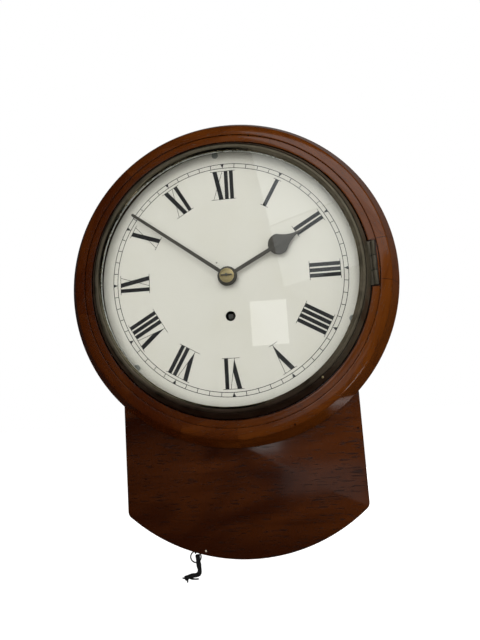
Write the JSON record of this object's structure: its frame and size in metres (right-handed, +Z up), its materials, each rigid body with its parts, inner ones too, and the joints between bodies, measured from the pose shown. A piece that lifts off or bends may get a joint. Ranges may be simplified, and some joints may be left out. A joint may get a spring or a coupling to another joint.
{
  "type": "drop dial wall clock",
  "caption": "Round wall clock with a turned wooden surround, hinged brass bezel, painted dial, hands, fusee movement, pendulum and a short drop case with doors.",
  "frame": {"origin": "centre of the hanging plate's hole, in the plane of the wall", "axes": "+Z up the wall, -Y out of the wall towards the viewer, +X to the right as seen from the front"},
  "size_m": [0.3958, 0.1582, 0.5441],
  "materials": {
    "mahogany": "polished",
    "carcase_wood": "plain",
    "brass": "tarnished",
    "steel": "dull",
    "blued_steel": "satin",
    "dial_paint": "satin",
    "glass": "clear",
    "lace": "woven"
  },
  "bodies": {
    "case": {"drop_front": "mahogany", "side_left": "mahogany", "side_right": "mahogany", "bottom_boards": "mahogany", "surround": "mahogany", "surround_pegs": "mahogany", "backboard": "carcase_wood", "top_board": "carcase_wood", "surround_cheeks": "carcase_wood", "bezel_hinge_fixed": "brass", "door_hinges_fixed": "brass", "front_plate": "brass", "back_plate": "brass", "pillars": "brass", "dial_feet": "brass", "hour_bridge": "brass", "back_cock": "brass", "hinge_pins": "steel", "hanging_plate": "steel", "fixing_screws": "steel", "dial_screws": "steel", "movement_pins": "steel", "barrel_arbor": "steel", "mainspring": "steel", "setup_work": "steel", "fusee_line": "steel", "dial_plate": "dial_paint"},
    "bezel": {"bezel_ring": "brass", "bezel_glass": "glass", "glass_retainer": "brass", "bezel_hinge_moving": "brass"},
    "side_door": {"side_door": "mahogany", "side_hinge_moving": "brass"},
    "turn_button": {"turn_button": "brass"},
    "bottom_door": {"bottom_door": "mahogany", "bottom_hinge_moving": "brass", "pull_eye": "steel"},
    "pull": {"pull_ring": "steel", "lace": "lace"},
    "minute": {"cannon_wheel": "brass", "minute_hand": "blued_steel"},
    "minute_wheel": {"minute_wheel": "brass"},
    "hour": {"hour_wheel": "brass", "hour_hand": "blued_steel"},
    "escape": {"escape_wheel": "steel"},
    "third": {"third_wheel": "steel"},
    "centre": {"centre_wheel": "steel", "friction_spring": "brass", "hand_collet": "brass", "collet_pin": "steel"},
    "great": {"great_wheel": "brass"},
    "fusee": {"fusee": "brass", "winding_arbor": "steel"},
    "barrel": {"barrel": "brass"},
    "pendulum": {"suspension_spring": "steel", "pendulum_rod": "steel", "pendulum_bob": "brass", "rating_nut": "brass"},
    "anchor": {"pallets": "steel", "crutch": "steel"}
  },
  "joints": [
    {"name": "bezel_hinge", "type": "hinge", "parent": "case", "child": "bezel", "pos_m": [0.167, -0.142, -0.14], "axis": [0, 0, 1], "range_deg": [0, 110]},
    {"name": "side_door_hinge", "type": "hinge", "parent": "case", "child": "side_door", "pos_m": [0.1416, -0.029, -0.195], "axis": [0, 0, 1], "range_deg": [0, 95]},
    {"name": "turn_button_pivot", "type": "hinge", "parent": "case", "child": "turn_button", "pos_m": [0.1392, -0.086, -0.195], "axis": [1, 0, 0], "range_deg": [0, 90]},
    {"name": "bottom_door_hinge", "type": "hinge", "parent": "case", "child": "bottom_door", "pos_m": [0.074, -0.0585, -0.45074], "axis": [0, -1, 0], "range_deg": [0, 90]},
    {"name": "pull_swing", "type": "hinge", "parent": "bottom_door", "child": "pull", "pos_m": [-0.0645, -0.1, -0.4554], "axis": [1, 0, 0], "range_deg": [-35, 35]},
    {"name": "minute_turn", "type": "hinge", "parent": "case", "child": "minute", "pos_m": [0, -0.146, -0.14], "axis": [0, 1, 0], "continuous": true},
    {"name": "minute_wheel_turn", "type": "hinge", "parent": "case", "child": "minute_wheel", "pos_m": [-0.024, -0.1245, -0.14], "axis": [0, 1, 0], "continuous": true},
    {"name": "hour_turn", "type": "hinge", "parent": "case", "child": "hour", "pos_m": [0, -0.1428, -0.14], "axis": [0, 1, 0], "continuous": true},
    {"name": "escape_turn", "type": "hinge", "parent": "case", "child": "escape", "pos_m": [0, -0.074, -0.1093], "axis": [0, 1, 0], "continuous": true},
    {"name": "third_turn", "type": "hinge", "parent": "case", "child": "third", "pos_m": [0.01786, -0.085, -0.11818], "axis": [0, 1, 0], "continuous": true},
    {"name": "centre_turn", "type": "hinge", "parent": "case", "child": "centre", "pos_m": [0, -0.11, -0.14], "axis": [0, 1, 0], "continuous": true},
    {"name": "great_turn", "type": "hinge", "parent": "case", "child": "great", "pos_m": [0, -0.0695, -0.186], "axis": [0, 1, 0], "continuous": true},
    {"name": "winding_turn", "type": "hinge", "parent": "great", "child": "fusee", "pos_m": [0, -0.095, -0.186], "axis": [0, 1, 0], "range_deg": [0, 4320]},
    {"name": "barrel_turn", "type": "hinge", "parent": "case", "child": "barrel", "pos_m": [-0.0426, -0.091, -0.20586], "axis": [0, 1, 0], "range_deg": [0, 2700]},
    {"name": "pendulum_swing", "type": "hinge", "parent": "case", "child": "pendulum", "pos_m": [0, -0.042, -0.08384], "axis": [0, 1, 0], "range_deg": [-2.5, 2.5]},
    {"name": "anchor_swing", "type": "hinge", "parent": "case", "child": "anchor", "pos_m": [0, -0.074, -0.08384], "axis": [0, 1, 0], "range_deg": [-2.5, 2.5]}
  ],
  "couplings": [
    {"joint": "minute_wheel_turn", "follows": "minute_turn", "ratio": -0.33333},
    {"joint": "hour_turn", "follows": "minute_turn", "ratio": 0.083333},
    {"joint": "third_turn", "follows": "escape_turn", "ratio": -0.1},
    {"joint": "centre_turn", "follows": "escape_turn", "ratio": 0.0083333},
    {"joint": "great_turn", "follows": "escape_turn", "ratio": -0.00069444},
    {"joint": "barrel_turn", "follows": "winding_turn", "ratio": 0.61},
    {"joint": "anchor_swing", "follows": "pendulum_swing", "ratio": 1}
  ]
}
